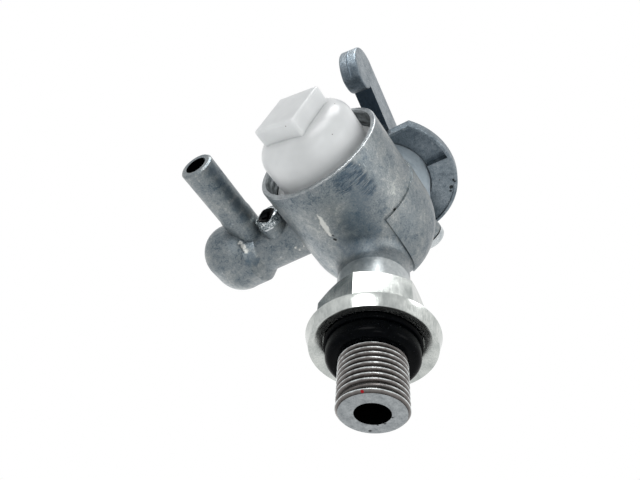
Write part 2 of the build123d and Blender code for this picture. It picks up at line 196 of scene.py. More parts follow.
# %% [markdown]
# ## Lamps
# The white world alone would leave the metal flat. Five area lamps, placed by the picture's directions and
# aimed at the tap, give it highlights and sides: two from above, a weak one beside the camera, one from the
# right, and a wide one from below and beyond. The first three show only in what mirrors them, because
# their direct light would make the white cup too bright.

# %% Lamps
lamp_middle = at(-4, 8, -10)
# Each row gives how far right, up and back the lamp stands, its distance and width in metres, its watts,
# and whether it is only mirrored.
LAMPS = {
    "key": (-0.25, 1.0, 0.45, 0.20, 0.12, 0.22, True),
    "top": (0.05, 1.0, -0.1, 0.20, 0.10, 0.22, True),
    "front": (0.1, 0.25, 1.0, 0.25, 0.05, 0.06, True),
    "side": (1.0, 0.25, 0.5, 0.20, 0.08, 0.06, False),
    "sky": (-0.4, -0.8, -0.9, 0.40, 0.30, 0.15, False),
}
for name, (from_right, from_up, from_back, distance, width, watts, only_mirrored) in LAMPS.items():
    light = bpy.data.lights.new(name, "AREA")
    light.shape = "DISK"
    light.size = width
    light.energy = watts
    lamp = bpy.data.objects.new(name, light)
    scene.collection.objects.link(lamp)
    way = (right * from_right + up * from_up + back * from_back).normalized()
    lamp.location = lamp_middle + way * distance
    lamp.rotation_euler = (-way).to_track_quat("-Z", "Y").to_euler()
    lamp.visible_camera = False
    lamp.visible_diffuse = not only_mirrored

# %% [markdown]
# ## What all finishes share
# Object coordinates are metres, so the size of a pattern in millimetres gives its noise scale. Every finish
# ends in the same way: a height becomes relief, one shader takes the colour and the roughness, and what is
# the same all over is set on the shader itself.

# %% Start and end of a finish
def new_material(name):
    """An empty material and its tree."""
    made = bpy.data.materials.new(name)
    made.use_nodes = True
    made.node_tree.nodes.clear()
    return made, made.node_tree


def per_mm(size):
    """Noise scale for features of this size in millimetres."""
    return 1.0 / (size * MM)


def weighted(tree, *pairs):
    """Adds up patterns, each times its weight."""
    total = None
    for value, weight in pairs:
        share = add(tree, "ShaderNodeMath", value, weight, operation="MULTIPLY")
        total = share if total is None else add(tree, "ShaderNodeMath", total, share, operation="ADD")
    return total


def surface(tree, colour, rough, height, strength, depth_mm, **finish):
    """Ends a finish: relief from a height, the shader and the output."""
    relief = add(tree, "ShaderNodeBump", in_Height=height, in_Strength=strength, in_Distance=depth_mm * MM)
    shader = add(tree, "ShaderNodeBsdfPrincipled", in_Base_Color=colour, in_Roughness=rough, in_Normal=relief,
                 **finish)
    add(tree, "ShaderNodeOutputMaterial", shader)


print("features of 1 mm have the noise scale", per_mm(1.0))

# %% [markdown]
# ## Masks at real places
# A scar or a stain belongs to one place of the casting. Painting an image would tie it to one picture, so a
# mark is a place in millimetres with a radius, and its edge is made ragged by moving the coordinates with a
# noise first. Other masks follow a height, a distance or the way that a face looks.

# %% Masks
MARK_CORE = 0.6  # share of a mark's radius inside which it is at full strength


def ragged(tree, coords, size_mm, shift_mm):
    """Coordinates pushed about by a noise, so that whatever is drawn in them gets an uneven edge."""
    wobble = add(tree, "ShaderNodeTexNoise", coords, in_Scale=per_mm(size_mm), in_Detail=3.0)
    centred = add(tree, "ShaderNodeVectorMath", wobble.outputs["Color"], (0.5, 0.5, 0.5),
                  operation="SUBTRACT")
    scaled = add(tree, "ShaderNodeVectorMath", centred, in_Scale=2 * shift_mm * MM, operation="SCALE")
    return add(tree, "ShaderNodeVectorMath", coords, scaled, operation="ADD")


def marks(tree, coords, places):
    """A mask that is 1 inside the marks, each given as (x, y, z, radius) in millimetres."""
    mask = None
    for x, y, z, radius in places:
        gap = add(tree, "ShaderNodeVectorMath", coords, at(x, y, z), operation="DISTANCE").outputs["Value"]
        spot = add(tree, "ShaderNodeMapRange", gap, radius * MM, MARK_CORE * radius * MM, 0.0, 1.0)
        mask = spot if mask is None else add(tree, "ShaderNodeMath", mask, spot, operation="MAXIMUM")
    return mask


def below(tree, place, start_mm, end_mm, strength=1.0):
    """A mask that grows from 0 to its strength between two heights."""
    height = add(tree, "ShaderNodeSeparateXYZ", place).outputs["Z"]
    return add(tree, "ShaderNodeMapRange", height, start_mm * MM, end_mm * MM, 0.0, strength)


def distance_along(tree, place, point, direction):
    """How far the surface lies from a point, measured along a direction."""
    away = add(tree, "ShaderNodeVectorMath", place, point, operation="SUBTRACT")
    return add(tree, "ShaderNodeVectorMath", away, direction, operation="DOT_PRODUCT").outputs["Value"]


def facing(tree, direction, low, high):
    """A mask for the faces that look in one direction of the model."""
    normal = add(tree, "ShaderNodeTexCoord").outputs["Normal"]
    dot = add(tree, "ShaderNodeVectorMath", normal, direction, operation="DOT_PRODUCT").outputs["Value"]
    return add(tree, "ShaderNodeMapRange", dot, low, high, 0.0, 1.0)


print("masks:", [mask.__name__ for mask in (ragged, marks, below, distance_along, facing)])

# %% [markdown]
# ## Zinc die casting
# The housing and the lever are cast in zinc alloy and only tumbled, so they are a dull grey metal with a
# mottled skin and thin bright scratches. One noise would look like clouds, so three at real sizes add up to
# the mottling. Marks lie over it in layers: each is a mask, a colour, and how far it raises the skin.

# %% Cast skin
CLOUD_MM = 5.0
BLOTCH_MM = 0.9
GRAIN_MM = 0.26
SCRATCH_MM = 1.8
EDGE_SIZE_MM = 0.7
EDGE_SHIFT_MM = 0.45


def cast_metal(name, stops, layers_of, shift_mm=0.0):
    """Die-cast skin under the layers that a function gives. The shift takes the mottling elsewhere."""
    made, tree = new_material(name)
    place = add(tree, "ShaderNodeTexCoord").outputs["Object"]
    shift = shift_mm * MM
    coords = add(tree, "ShaderNodeMapping", place, in_Location=(shift, 0.3 * shift, 0.7 * shift))
    rough_coords = ragged(tree, coords, 1.2, 0.7)
    cloud = add(tree, "ShaderNodeTexNoise", rough_coords, in_Scale=per_mm(CLOUD_MM), in_Detail=3.0,
                in_Roughness=0.55)
    blotch = add(tree, "ShaderNodeTexNoise", rough_coords, in_Scale=per_mm(BLOTCH_MM), in_Detail=5.0,
                 in_Roughness=0.7)
    grain = add(tree, "ShaderNodeTexNoise", coords, in_Scale=per_mm(GRAIN_MM), in_Detail=3.0,
                in_Roughness=0.7)
    mottle = weighted(tree, (cloud, 0.34), (blotch, 0.34), (grain, 0.32))
    colour = add(tree, "ShaderNodeValToRGB", mottle, stops=stops)
    height = weighted(tree, (grain, 0.35), (blotch, 0.65))
    drawn_out = add(tree, "ShaderNodeMapping", coords, in_Rotation=(0.5, 0.9, 0.4), in_Scale=(1.0, 14.0, 1.0))
    thin = add(tree, "ShaderNodeTexNoise", drawn_out, in_Scale=per_mm(SCRATCH_MM), in_Detail=4.0,
               in_Roughness=0.7)
    scratch = add(tree, "ShaderNodeMapRange", thin, 0.64, 0.72, 0.0, 0.5)
    edges = ragged(tree, place, EDGE_SIZE_MM, EDGE_SHIFT_MM)
    for mask, code, rise in [(scratch, "#C3C8C9", 0.0)] + layers_of(tree, place, edges):
        colour = add(tree, "ShaderNodeMix", mask, in_6=colour, in_7=linear(code),
                     data_type="RGBA").outputs[2]
        if rise:
            raised = add(tree, "ShaderNodeMath", mask, rise, operation="MULTIPLY")
            height = add(tree, "ShaderNodeMath", height, raised, operation="ADD")
    roughness = add(tree, "ShaderNodeMapRange", mottle, 0.35, 0.65, 0.44, 0.30)
    surface(tree, colour, roughness, height, 0.85, 0.18, in_Metallic=0.85)
    return made


print("mottling of", CLOUD_MM, BLOTCH_MM, "and", GRAIN_MM, "mm")

# %% [markdown]
# ## Marks, painted reflections and a painted highlight on the housing
# The photograph shows a bright gouge in the wall, pale scars, dark pits and strokes of a file near the rim.
# Bluish patches on the housing, the elbow and the nipple are painted dark reflections, and three pale spots
# at the elbow are a painted highlight. The gouge is a row of spots that are widest in its middle, so that it
# runs out to a point at both ends. The file's strokes are a noise drawn out along the way that the file went.

# %% Housing finish
GOUGE_TOP = (-2.0, 13.7, -17.8)
GOUGE_END = (-2.6, 13.6, -11.8)
GOUGE_SPOTS = 14
GOUGE_POINT_R = 0.25
GOUGE_SWELL = 0.55
STROKE_MM = 0.28
gouge = []
for step in range(GOUGE_SPOTS):
    part = (step + 0.5) / GOUGE_SPOTS
    middle = [a + (b - a) * part for a, b in zip(GOUGE_TOP, GOUGE_END)]
    gouge.append((*middle, GOUGE_POINT_R + GOUGE_SWELL * math.sin(math.pi * part)))
# Pale scars; the three spots near x = -26 at the elbow are a painted highlight.
scars_and_highlight = gouge + [
    (-12.5, 7.2, -8.5, 0.7), (-11.9, 7.4, -7.6, 0.6), (-15.1, 5.0, -7.7, 0.35), (-14.8, 5.0, -6.6, 0.3),
    (-13.3, 5.0, -7.1, 0.3), (9.3, 10.1, -21.3, 0.35), (-26.5, 3.0, -13.6, 0.6), (-26.3, 3.5, -12.7, 0.8),
    (-26.0, 4.1, -11.8, 0.7), (-31.7, 4.4, -12.2, 0.5)]
pits = [
    (-2.2, 13.7, -11.0, 0.5), (-2.0, 13.7, -12.0, 0.3), (-1.6, 13.8, -11.4, 0.3), (9.5, 10.0, -23.2, 0.2),
    (9.4, 10.1, -22.8, 0.17), (9.4, 10.2, -22.2, 0.17), (9.3, 10.3, -21.6, 0.17), (9.3, 10.3, -20.8, 0.17),
    (9.4, 10.0, -22.2, 0.2), (9.3, 10.1, -20.9, 0.16), (11.6, 8.2, -10.7, 0.4), (9.8, 9.6, -9.2, 0.3),
    (8.3, 10.9, -7.6, 0.3)]
filed = [(8.1, 11.2, -19.4, 2.2), (7.7, 11.5, -21.6, 2.0), (8.5, 10.9, -16.6, 2.0), (5.6, 12.7, -20.2, 2.4)]
# Bluish painted dark reflections, where the metal mirrors dark surroundings: x, y, z and radius in mm.
dark_reflections = [
    (6.8, 12.1, -20.4, 3.4), (6.7, 12.1, -16.0, 3.2), (3.4, 13.4, -13.2, 3.2), (4.0, 13.2, -9.2, 3.0),
    (-0.4, 13.8, -8.4, 3.0), (3.0, 13.5, -5.0, 2.6), (-25.5, 4.8, -10.4, 1.3), (-25.5, 5.5, -9.1, 1.3),
    (-26.5, 5.8, -10.0, 1.1), (-20.3, 1.1, -31.2, 1.7), (-20.7, 1.1, -28.0, 1.7), (-21.2, 1.1, -24.7, 1.7),
    (-21.8, 1.2, -21.3, 1.7), (-22.3, 1.2, -18.1, 1.7)]


def file_strokes(tree, place, edges):
    """A mask for parallel strokes inside the filed places."""
    turned = add(tree, "ShaderNodeMapping", place, in_Rotation=(0.0, 0.0, 0.65))
    tilted = add(tree, "ShaderNodeMapping", turned, in_Rotation=(0.0, 0.6, 0.0), in_Scale=(0.12, 1.0, 1.0))
    lines = add(tree, "ShaderNodeTexNoise", tilted, in_Scale=per_mm(STROKE_MM), in_Detail=2.0,
                in_Roughness=0.55)
    strokes = add(tree, "ShaderNodeMapRange", lines, 0.47, 0.58, 0.0, 1.0)
    return add(tree, "ShaderNodeMath", strokes, marks(tree, edges, filed), operation="MULTIPLY")


def housing_layers(tree, place, edges):
    """Painted dark reflections, file strokes, scars with a painted highlight, and pits, each as a mask, a
    colour and a rise.
    """
    reflected_dark = marks(tree, ragged(tree, place, 2.5, 1.8), dark_reflections)
    return [
        # painted dark reflection, at half strength
        (add(tree, "ShaderNodeMath", reflected_dark, 0.5, operation="MULTIPLY"), "#465866", 0.0),
        (file_strokes(tree, place, edges), "#44525E", -0.5),
        # pale scars, and a painted highlight at the elbow
        (marks(tree, edges, scars_and_highlight), "#C9CAC6", -0.6),
        (marks(tree, edges, pits), "#262B2C", -1.2)]


cast_zinc = cast_metal("as-cast zinc alloy", [
    (0.38, "#495660"), (0.46, "#717A7F"), (0.55, "#888D8E"), (0.66, "#AFB2AF")], housing_layers)
print("housing:", len(scars_and_highlight), "scar spots,", len(pits), "pits")

# %% [markdown]
# ## Marks and painted shade on the lever
# The faces of the lever that look at the housing lie in its shadow, so they get painted shade along the
# finger bar, less at the bar's head and in the hub's pocket. The head also shows the thin raised line that
# the two halves of the mould left across it, and that line leans with the bar.

# %% Lever finish
BAR_LEAN = math.radians(8.3)
BAR_OFF_AXIS = 4.0
HEAD_START = -26.5
LINE_MM = 0.45
# Heights in mm where the painted shade on the bar starts and where it fades.
SHADE_START = -10.0
SHADE_FADES = -21.0
POCKET_FLOOR = 20.4
bar_across = valve_side * math.cos(BAR_LEAN) + Vector((0, 0, 1)) * math.sin(BAR_LEAN)
bar_point = at(0, 0, VALVE_Z) + bar_across * BAR_OFF_AXIS * MM
lever_pits = [
    (15.8, -18.5, 10.2, 0.55), (15.2, -18.5, 11.2, 0.35), (17.4, -18.4, 8.7, 0.5), (14.3, -18.6, 7.1, 0.2)]


def side_shade(tree, place):
    """A mask of painted shade on the faces towards the housing, which lie in its shadow."""
    started = below(tree, place, SHADE_START, SHADE_START - 2.0, 0.85)
    faded = add(tree, "ShaderNodeMath", 1.0, below(tree, place, SHADE_FADES, SHADE_FADES - 3.0, 0.55),
                operation="SUBTRACT")
    bar_shade = add(tree, "ShaderNodeMath", started, faded, operation="MULTIPLY")
    # The floor of the hub's pocket gets a weaker painted shade.
    depth = distance_along(tree, place, at(0, 0, VALVE_Z), valve_out)
    pocket_shade = add(tree, "ShaderNodeMapRange", depth, POCKET_FLOOR * MM, (POCKET_FLOOR + 0.3) * MM, 0.0, 0.3)
    either = add(tree, "ShaderNodeMath", bar_shade, pocket_shade, operation="MAXIMUM")
    return add(tree, "ShaderNodeMath", facing(tree, -valve_out, 0.35, 0.85), either, operation="MULTIPLY")


def parting_line(tree, place):
    """A mask for the line of the mould across the bar's head."""
    aside = distance_along(tree, place, bar_point, bar_across)
    aside = add(tree, "ShaderNodeMath", aside, operation="ABSOLUTE")
    line = add(tree, "ShaderNodeMapRange", aside, 0.5 * LINE_MM * MM, 0.15 * LINE_MM * MM, 0.0, 1.0)
    on_head = below(tree, place, HEAD_START, HEAD_START - 1.5)
    return add(tree, "ShaderNodeMath", line, on_head, operation="MULTIPLY")


def lever_layers(tree, place, edges):
    """Pits, painted shade and parting line, each as a mask, a colour and a rise."""
    return [
        (marks(tree, edges, lever_pits), "#262B2C", -1.2),
        # painted shade on the faces towards the housing
        (side_shade(tree, place), "#2B3A48", 0.0),
        (parting_line(tree, place), "#6F7C86", 0.9)]


lever_zinc = cast_metal("as-cast zinc alloy of the lever", [
    (0.38, "#566169"), (0.5, "#79838A"), (0.62, "#989FA4")], lever_layers, shift_mm=31.0)
print("lever:", len(lever_pits), "pits, parting line", LINE_MM, "mm wide")

# %% [markdown]
# ## Machined and plated metal
# The stub's end, the rim and the neck are cut bare, so they are brighter than the cast skin; the neck is
# painted paler still, as light in the shaded corner between housing and nut. The valve boss gets a paler,
# less metallic copy of the cast skin, painted lighter against the shade it lies in. The nut and the screws
# are steel with a bright zinc plating. The drilled bores, the hole of the torn screw and the washer under the
# retaining screw get a near-black finish that is painted shade. They differ in colour, gloss and the size of
# their
# streaks, so one function makes them all: clouds for the colour, and a finer noise for streaks in relief,
# drawn out along the axis where a scale under 1 is given.

# %% Worked metals
def worked_metal(name, stops, cloud_mm, streak_mm, depth_mm, rough, stretch=(1.0, 1.0, 1.0), pits=(),
                 metallic=0.95):
    """A cut or plated metal: cloudy colour and fine streaks in relief."""
    made, tree = new_material(name)
    place = add(tree, "ShaderNodeTexCoord").outputs["Object"]
    cloud = add(tree, "ShaderNodeTexNoise", place, in_Scale=per_mm(cloud_mm), in_Detail=4.0, in_Roughness=0.6)
    stretched = add(tree, "ShaderNodeMapping", place, in_Scale=stretch)
    streak = add(tree, "ShaderNodeTexNoise", stretched, in_Scale=per_mm(streak_mm), in_Detail=3.0,
                 in_Roughness=0.6)
    mixed = weighted(tree, (cloud, 0.6), (streak, 0.4))
    colour = add(tree, "ShaderNodeValToRGB", mixed, stops=stops)
    if pits:
        pit = marks(tree, ragged(tree, place, 0.5, 0.25), pits)
        colour = add(tree, "ShaderNodeMix", pit, in_6=colour, in_7=linear("#2B3033"),
                     data_type="RGBA").outputs[2]
    roughness = add(tree, "ShaderNodeMapRange", mixed, 0.35, 0.65, rough - 0.05, rough + 0.06)
    surface(tree, colour, roughness, streak, 0.5, depth_mm, in_Metallic=metallic)
    return made


machined_zinc = worked_metal(
    "machined zinc alloy", [(0.35, "#757A7D"), (0.65, "#A9AEB0")], cloud_mm=1.2, streak_mm=0.25,
    depth_mm=0.03, rough=0.36, stretch=(1.0, 0.6, 1.0),
    pits=[(-2.7, 45.8, 4.0, 0.3), (0.4, 45.8, 3.1, 0.3), (-0.8, 45.8, 3.0, 0.25), (2.3, 45.8, 2.2, 0.25)])
plated_steel = worked_metal(
    "bright zinc-plated steel", [(0.3, "#9FA4A2"), (0.7, "#D9DCD8")], cloud_mm=2.5, streak_mm=0.3,
    depth_mm=0.012, rough=0.2, stretch=(1.0, 0.08, 1.0))
screw_steel = worked_metal(
    "zinc-plated screw steel", [(0.35, "#A5ACAF"), (0.65, "#DDE1E2")], cloud_mm=1.6, streak_mm=0.4,
    depth_mm=0.02, rough=0.18)
# Paler than the machined zinc: painted light on the neck, which sits in the shaded corner between housing and
# nut.
neck_zinc_lit = worked_metal(
    "turned neck of the casting", [(0.3, "#989FA2"), (0.7, "#C6CACA")], cloud_mm=1.0, streak_mm=0.4,
    depth_mm=0.04, rough=0.33)
# A paler, less metallic copy of the cast skin: painted light on the boss, which lies in shade between housing
# and hub.
boss_zinc_lit = worked_metal(
    "smooth cast zinc of the valve boss", [(0.3, "#93A1AA"), (0.7, "#BCC6CC")], cloud_mm=1.6,
    streak_mm=0.5, depth_mm=0.04, rough=0.42, metallic=0.3)
torn_steel = worked_metal(
    "torn screw steel", [(0.38, "#4A5358"), (0.5, "#8F989C"), (0.6, "#E4E8E8")], cloud_mm=0.6,
    streak_mm=0.3, depth_mm=0.04, rough=0.22)
# Near-black painted shade for the bores, the torn screw's hole and the retaining screw's washer.
bore_shade = worked_metal(
    "dark drilled bore", [(0.35, "#010203"), (0.65, "#06080A")], cloud_mm=1.0, streak_mm=0.3,
    depth_mm=0.02, rough=0.5)
worked = (machined_zinc, plated_steel, screw_steel, neck_zinc_lit, boss_zinc_lit, torn_steel, bore_shade)
print("worked metals:", [metal.name for metal in worked])

# %% [markdown]
# ## Cut thread
# The stub's thread is painted dark in its root as shade and bright on its crests as a highlight. Two
# materials would meet in a hard line, so the distance from the inlet's axis, which says how high on the
# thread a spot lies, picks the colour, with a little noise to make it uneven. A small red dot on the chamfer
# is one more mark.

# %% Cut thread
STUB_ROOT = 5.42
STUB_CREST = 5.98
RED_DOT = (1.4, 45.6, -5.6, 0.32)


def thread_shade_and_glint_metal(name, stops):
    """Bare cut metal with painted shade in the thread's root and a painted highlight on its crest."""
    made, tree = new_material(name)
    place = add(tree, "ShaderNodeTexCoord").outputs["Object"]
    parts = add(tree, "ShaderNodeSeparateXYZ", place).outputs
    flat = add(tree, "ShaderNodeCombineXYZ", in_X=parts["X"], in_Z=parts["Z"])
    radius = add(tree, "ShaderNodeVectorMath", flat, operation="LENGTH").outputs["Value"]
    # 0 in the root, where the colour is painted shade, up to 1 on the crest, where it is a painted highlight.
    level = add(tree, "ShaderNodeMapRange", radius, STUB_ROOT * MM, STUB_CREST * MM, 0.0, 1.0)
    cloud = add(tree, "ShaderNodeTexNoise", place, in_Scale=per_mm(0.9), in_Detail=3.0, in_Roughness=0.55)
    centred = add(tree, "ShaderNodeMath", cloud, 0.5, operation="SUBTRACT")
    level = weighted(tree, (level, 1.0), (centred, 0.35))
    colour = add(tree, "ShaderNodeValToRGB", level, stops=stops)
    dot = marks(tree, ragged(tree, place, 0.3, 0.08), [RED_DOT])
    colour = add(tree, "ShaderNodeMix", dot, in_6=colour, in_7=linear("#A01822"),
                 data_type="RGBA").outputs[2]
    grain = add(tree, "ShaderNodeTexNoise", place, in_Scale=per_mm(0.25), in_Detail=3.0, in_Roughness=0.55)
    surface(tree, colour, 0.34, grain, 0.4, 0.02, in_Metallic=0.9)
    return made


thread_shade_and_glint = thread_shade_and_glint_metal("cut thread in zinc alloy", [
    (0.1, "#2B2927"), (0.55, "#6A6664"), (0.85, "#85817F"), (0.97, "#DCE2E2")])
print("thread from", STUB_ROOT, "to", STUB_CREST, "mm:", thread_shade_and_glint.name)

# %% [markdown]
# ## Rubber
# The tank seal is moulded nitrile rubber: nearly black, with a soft sheen and a few grains of dust. Plain
# black would look like a hole, so a noise gives it an uneven skin, and the peaks of a finer noise are dust.

# %% Rubber
def moulded_rubber(name):
    """Black rubber with dust on it."""
    made, tree = new_material(name)
    place = add(tree, "ShaderNodeTexCoord").outputs["Object"]
    skin = add(tree, "ShaderNodeTexNoise", place, in_Scale=per_mm(0.8), in_Detail=3.0, in_Roughness=0.55)
    fine = add(tree, "ShaderNodeTexNoise", place, in_Scale=per_mm(0.18), in_Detail=1.0, in_Roughness=0.55)
    dust = add(tree, "ShaderNodeMapRange", fine, 0.76, 0.80, 0.0, 0.5)
    colour = add(tree, "ShaderNodeValToRGB", skin, stops=[(0.3, "#010203"), (0.8, "#05070A")])
    colour = add(tree, "ShaderNodeMix", dust, in_6=colour, in_7=linear("#7B8288"),
                 data_type="RGBA").outputs[2]
    roughness = add(tree, "ShaderNodeMapRange", skin, 0.3, 0.7, 0.2, 0.3)
    surface(tree, colour, roughness, skin, 0.3, 0.05, in_Specular_IOR_Level=0.03)
    return made


nitrile = moulded_rubber("nitrile rubber")
print("rubber:", nitrile.name)

# %% [markdown]
# ## Plastic
# The cup is natural polypropylene, milky and a little see-through, with tiny dark specks in the moulding.
# Light enters such plastic and leaves it again nearby, so it needs subsurface light, which plain white
# lacks. The middles of Voronoi cells make specks that lie apart and never in clumps.

# %% Plastic
SPECK_APART_MM = 3.2


def moulded_plastic(name, stops):
    """Milky plastic with dark specks in it."""
    made, tree = new_material(name)
    place = add(tree, "ShaderNodeTexCoord").outputs["Object"]
    cloud = add(tree, "ShaderNodeTexNoise", place, in_Scale=per_mm(5.0), in_Detail=2.0, in_Roughness=0.55)
    cells = add(tree, "ShaderNodeTexVoronoi", place, in_Scale=per_mm(SPECK_APART_MM), in_Randomness=1.0)
    specks = add(tree, "ShaderNodeMapRange", cells.outputs["Distance"], 0.03, 0.05, 0.9, 0.0)
    colour = add(tree, "ShaderNodeValToRGB", cloud, stops=stops)
    colour = add(tree, "ShaderNodeMix", specks, in_6=colour, in_7=linear("#77716A"),
                 data_type="RGBA").outputs[2]
    surface(tree, colour, 0.28, cloud, 0.2, 0.3, in_Specular_IOR_Level=0.35, in_Subsurface_Weight=0.8,
            in_Subsurface_Radius=(1.0, 1.0, 1.0), in_Subsurface_Scale=2.5 * MM)
    return made


milky_plastic = moulded_plastic("natural polypropylene", [(0.3, "#D6D8D8"), (0.7, "#DFE1E1")])
strainer_plastic = moulded_plastic("strainer nylon", [(0.3, "#B9B39A"), (0.7, "#C9C4AD")])
print("plastics:", milky_plastic.name, "and", strainer_plastic.name)

# %% [markdown]
# ## Finished copies of the CAD pieces
# The CAD mesh is loose triangles. A copy of it is welded, its sharp edges are marked and the rest is shaded
# smooth, and that copy stands for the node. Changing a copy is safe, because the CAD mesh itself is never
# touched.

# %% Copy and finish a node
WELD_MM = 0.002


def welded(node):
    """A bmesh copy of a CAD node with its doubled points merged."""
    bm = bmesh.new()
    bm.from_mesh(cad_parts[node].data)
    bmesh.ops.remove_doubles(bm, verts=bm.verts, dist=WELD_MM * MM)
    return bm


def finish_piece(bm, name, node, body, materials, sharp_degrees=32.0):
    """Shades a mesh, gives it its materials and lets it stand for a CAD node."""
    limit = math.radians(sharp_degrees)
    for edge in bm.edges:
        edge.smooth = not (edge.is_manifold and edge.calc_face_angle(0.0) > limit)
    for face in bm.faces:
        face.smooth = True
    mesh = bpy.data.meshes.new(name)
    bm.to_mesh(mesh)
    bm.free()
    if "custom_normal" in mesh.attributes:
        mesh.attributes.remove(mesh.attributes["custom_normal"])
    piece = bpy.data.objects.new(name, mesh)
    scene.collection.objects.link(piece)
    for material in materials:
        mesh.materials.append(material)
    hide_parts(node)
    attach(piece, body)
    return piece


print("nodes to finish:", len(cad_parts))

# %% [markdown]
# ## Pieces that keep their CAD shape
# Rings, washers, the strainer, the lever and the screw behind it are right as the CAD model has them, so
# they only need a finish. A list says for each node which body it moves with, its slot and its finish.

# %% Pieces that keep their CAD shape
PLAIN_PIECES = [
    ("backing_ring", "seal_carrier", "rubber", nitrile),
    ("tank_seal", "seal_carrier", "rubber", nitrile),
    ("cup_o_ring", "cup_carrier", "rubber", nitrile),
    ("strainer_frame", "housing", "strainer_nylon", strainer_plastic),
    ("strainer_gauze", "housing", "gauze", screw_steel),
    ("lever", "valve", "cast_zinc", lever_zinc),
    ("spindle_o_ring", "valve", "rubber", nitrile),
    ("port_seal", "housing", "rubber", nitrile),
    ("retaining_screw", "housing", "plated_steel", screw_steel),
    # This washer gets the near-black finish as painted shade in the gap under the screw's head.
    ("retaining_washer", "housing", "plated_steel", bore_shade),
    ("passage_washer", "housing", "plated_steel", screw_steel),
]
for node, body, slot, material in PLAIN_PIECES:
    finish_piece(welded(node), node + "_finished", node, body, [material])
print("finished", len(PLAIN_PIECES), "pieces")

# %% [markdown]
# ## The lock nut where it was tightened to
# A nut stops at any angle. In the photograph its flats stand 20 degrees on from the angle that the CAD model
# rests at, so the copy is turned about the inlet's axis, which is the nut's own axis. Its flange is round
# and stays where it is.

# %% Lock nut
NUT_TURNED = math.radians(20.0)
bm = welded("lock_nut")
bm.transform(Matrix.Rotation(-NUT_TURNED, 4, "Y"))
nut = finish_piece(bm, "lock_nut_finished", "lock_nut", "nut", [plated_steel])
print("nut faces", len(nut.data.polygons))

# %% [markdown]
# ## The body with its threaded walls cut to the root
# The CAD walls are as wide as the thread's crests. In the copy a threaded wall moves to the thread's root,
# and the thread is laid over it later as a piece of its own. The stub keeps its full width over the last
# half millimetre, so the mesh is cut there first.

# %% Body mesh
STUB_WALL = 6.0
STUB_START = 22.3
STUB_LEAD = 45.25
STUB_SLOPE = 0.25
NECK_START = 17.0
BOWL_WALL = 12.0
BOWL_ROOT = 12.28
BOWL_LIP = -23.0
BOWL_THREAD_END = -10.4
NEAR_WALL = 0.1


def local_mm(co):
    """Where a point of a mesh lies from the crossing of the inlet's and the bowl's axes."""
    return co.x / MM, co.y / MM - BOWL_Y, co.z / MM


bm = welded("body")
for level in (NECK_START, STUB_LEAD - STUB_SLOPE, STUB_LEAD):
    everything = bm.verts[:] + bm.edges[:] + bm.faces[:]
    bmesh.ops.bisect_plane(bm, geom=everything, plane_co=at(0, level, 0), plane_no=(0, 1, 0))
moved = 0
for vertex in bm.verts:
    x, y, z = local_mm(vertex.co)
    from_inlet = math.hypot(x, z)
    from_bowl = math.hypot(x, y)
    if STUB_START < y < STUB_LEAD - NEAR_WALL and abs(from_inlet - STUB_WALL) < NEAR_WALL:
        vertex.co.x *= STUB_ROOT / from_inlet
        vertex.co.z *= STUB_ROOT / from_inlet
        moved += 1
    if BOWL_LIP < z < BOWL_THREAD_END and abs(from_bowl - BOWL_WALL) < NEAR_WALL:
        vertex.co.x *= BOWL_ROOT / from_bowl
        vertex.co.y = (y * BOWL_ROOT / from_bowl + BOWL_Y) * MM
        moved += 1
print("moved", moved, "points to a thread's root")

# %% [markdown]
# ## Finishes of the body
# One casting shows six finishes: the cast skin, cut faces, drilled bores painted black as shade, the thread's
# chamfer with painted shade and highlight, the turned neck painted paler as light and the smooth boss of the
# valve painted lighter against its shade. Cutting it up would leave seams, so each face gets its finish from
# where it lies, with the first rule that fits.

# %% Body finishes
INLET_BORE = 3.03
INLET_BORE_START = 2.0
NIPPLE_BORE = 2.34
NIPPLE_BORE_START = -12.0
CHAMFER_R = 5.0
END_FACE_LOOK = 0.95
NECK_END = 22.8
NECK_R = 7.35
NECK_INNER_R = 3.5
BOSS_R = 11.3
BOSS_LENGTH = 21.5
NEAR_BOSS = 0.15
STUB_OUTER_R = 6.2
RIM_START = -22.9
RIM_INNER_R = 11.5
RIM_OUTER_R = 13.6
BOWL_WALL_OUTER_R = 12.5
nipple_tip = Vector((-23.5, 0.0, -33.2))
nipple_root = Vector((-26.2, -2.0, -9.0))
nipple_way = (nipple_tip - nipple_root).normalized()
body_finishes = {"cast": cast_zinc, "cut": machined_zinc, "bore": bore_shade, "chamfer": thread_shade_and_glint,
                 "neck": neck_zinc_lit, "boss": boss_zinc_lit}


def finish_of(face):
    """The name of a face's finish."""
    x, y, z = local_mm(face.calc_center_median())
    from_inlet = math.hypot(x, z)
    from_bowl = math.hypot(x, y)
    from_tip = Vector((x, y, z)) - nipple_tip
    from_nipple = (from_tip - nipple_way * from_tip.dot(nipple_way)).length
    from_valve = Vector((x, y, z - VALVE_Z))
    outwards = from_valve.dot(valve_out)
    from_valve_axis = (from_valve - valve_out * outwards).length
    inlet_bore = y > INLET_BORE_START and from_inlet < INLET_BORE
    nipple_bore = z < NIPPLE_BORE_START and from_nipple < NIPPLE_BORE
    if inlet_bore or nipple_bore:
        return "bore"
    if y > STUB_LEAD and from_inlet > CHAMFER_R and face.normal.y < END_FACE_LOOK:
        return "chamfer"
    if NECK_START < y < NECK_END and NECK_INNER_R < from_inlet < NECK_R:
        return "neck"
    if 0 < outwards < BOSS_LENGTH and abs(from_valve_axis - BOSS_R) < NEAR_BOSS:
        return "boss"
    stub = y > STUB_START and from_inlet < STUB_OUTER_R
    rim = z < RIM_START and RIM_INNER_R < from_bowl < RIM_OUTER_R
    bowl_wall = BOWL_LIP < z < BOWL_THREAD_END and RIM_INNER_R < from_bowl < BOWL_WALL_OUTER_R
    return "cut" if stub or rim or bowl_wall else "cast"


